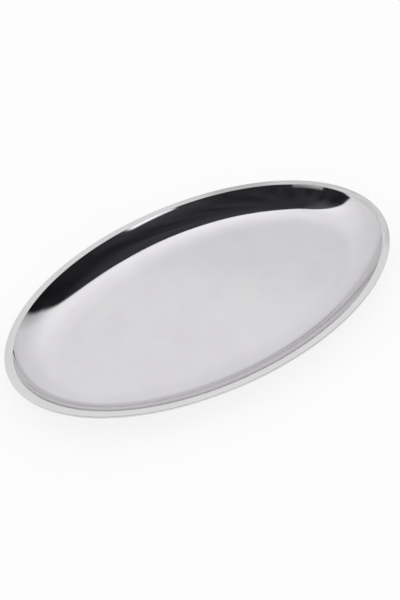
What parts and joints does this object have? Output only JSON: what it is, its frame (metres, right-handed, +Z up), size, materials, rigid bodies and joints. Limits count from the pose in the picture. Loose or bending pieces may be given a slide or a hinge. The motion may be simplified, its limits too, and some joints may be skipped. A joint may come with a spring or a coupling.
{
  "type": "oval serving tray",
  "caption": "Oval double-walled metal serving tray with a polished shallow well, a satin folded rim and round foot pads.",
  "frame": {"origin": "on the surface that the tray stands on, under the middle of the tray", "axes": "+X along the tray's length, +Y across it, +Z up out of the well"},
  "size_m": [0.45, 0.256, 0.029],
  "materials": {
    "polished_steel": "mirror polished stainless steel with faint hand-polishing marks",
    "brushed_steel": "brushed stainless steel",
    "satin_steel": "satin stainless steel, brushed along the rim",
    "plain_wire": "plain drawn steel wire",
    "core_foam": "rigid foam board",
    "grey_silicone": "matt silicone rubber"
  },
  "bodies": {
    "root": {"inner_dish": "polished_steel", "outer_shell": "brushed_steel", "rim_band": "satin_steel", "rim_wire": "plain_wire", "floor_core": "core_foam", "vent_plug": "grey_silicone", "foot_pad_front_left": "grey_silicone", "foot_pad_front_right": "grey_silicone", "foot_pad_rear_left": "grey_silicone", "foot_pad_rear_right": "grey_silicone"}
  },
  "joints": []
}
